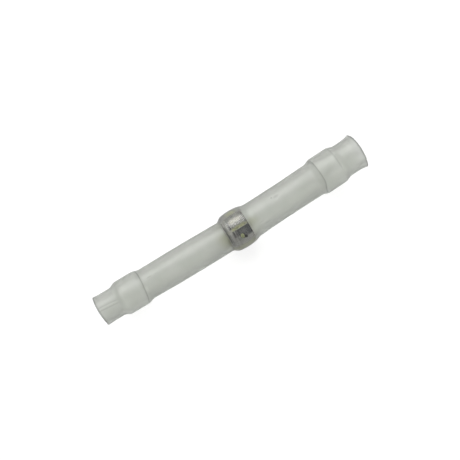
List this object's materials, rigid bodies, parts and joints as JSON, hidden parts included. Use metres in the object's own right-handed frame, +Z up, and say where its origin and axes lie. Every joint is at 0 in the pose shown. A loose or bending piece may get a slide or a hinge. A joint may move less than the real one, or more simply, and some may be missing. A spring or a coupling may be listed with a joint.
{
  "type": "solder sleeve",
  "caption": "Clear heat-shrink sleeve for a soldered wire splice, lying on its side, with a solder ring at its middle and a hot-melt sealing ring in each arm.",
  "frame": {"origin": "middle of the solder ring's bore, where the two stripped wire ends meet", "axes": "+X along the solder ring's bore towards the right mouth, +Z up from the table that the sleeve lies on, both arms sweeping a little towards +Y"},
  "size_m": [0.0403, 0.0056, 0.0054],
  "materials": {
    "clear_sleeve": "frosted clear heat-shrink plastic, lightly scuffed",
    "solder": "dull rolled solder with a flux film",
    "flux": "glassy yellow-green rosin",
    "hot_melt": "milky clear hot melt"
  },
  "bodies": {
    "root": {"sleeve": "clear_sleeve", "solder_ring": "solder", "flux": "flux", "flux_drop": "flux", "seal_ring_left": "hot_melt", "seal_ring_right": "hot_melt"}
  },
  "joints": []
}
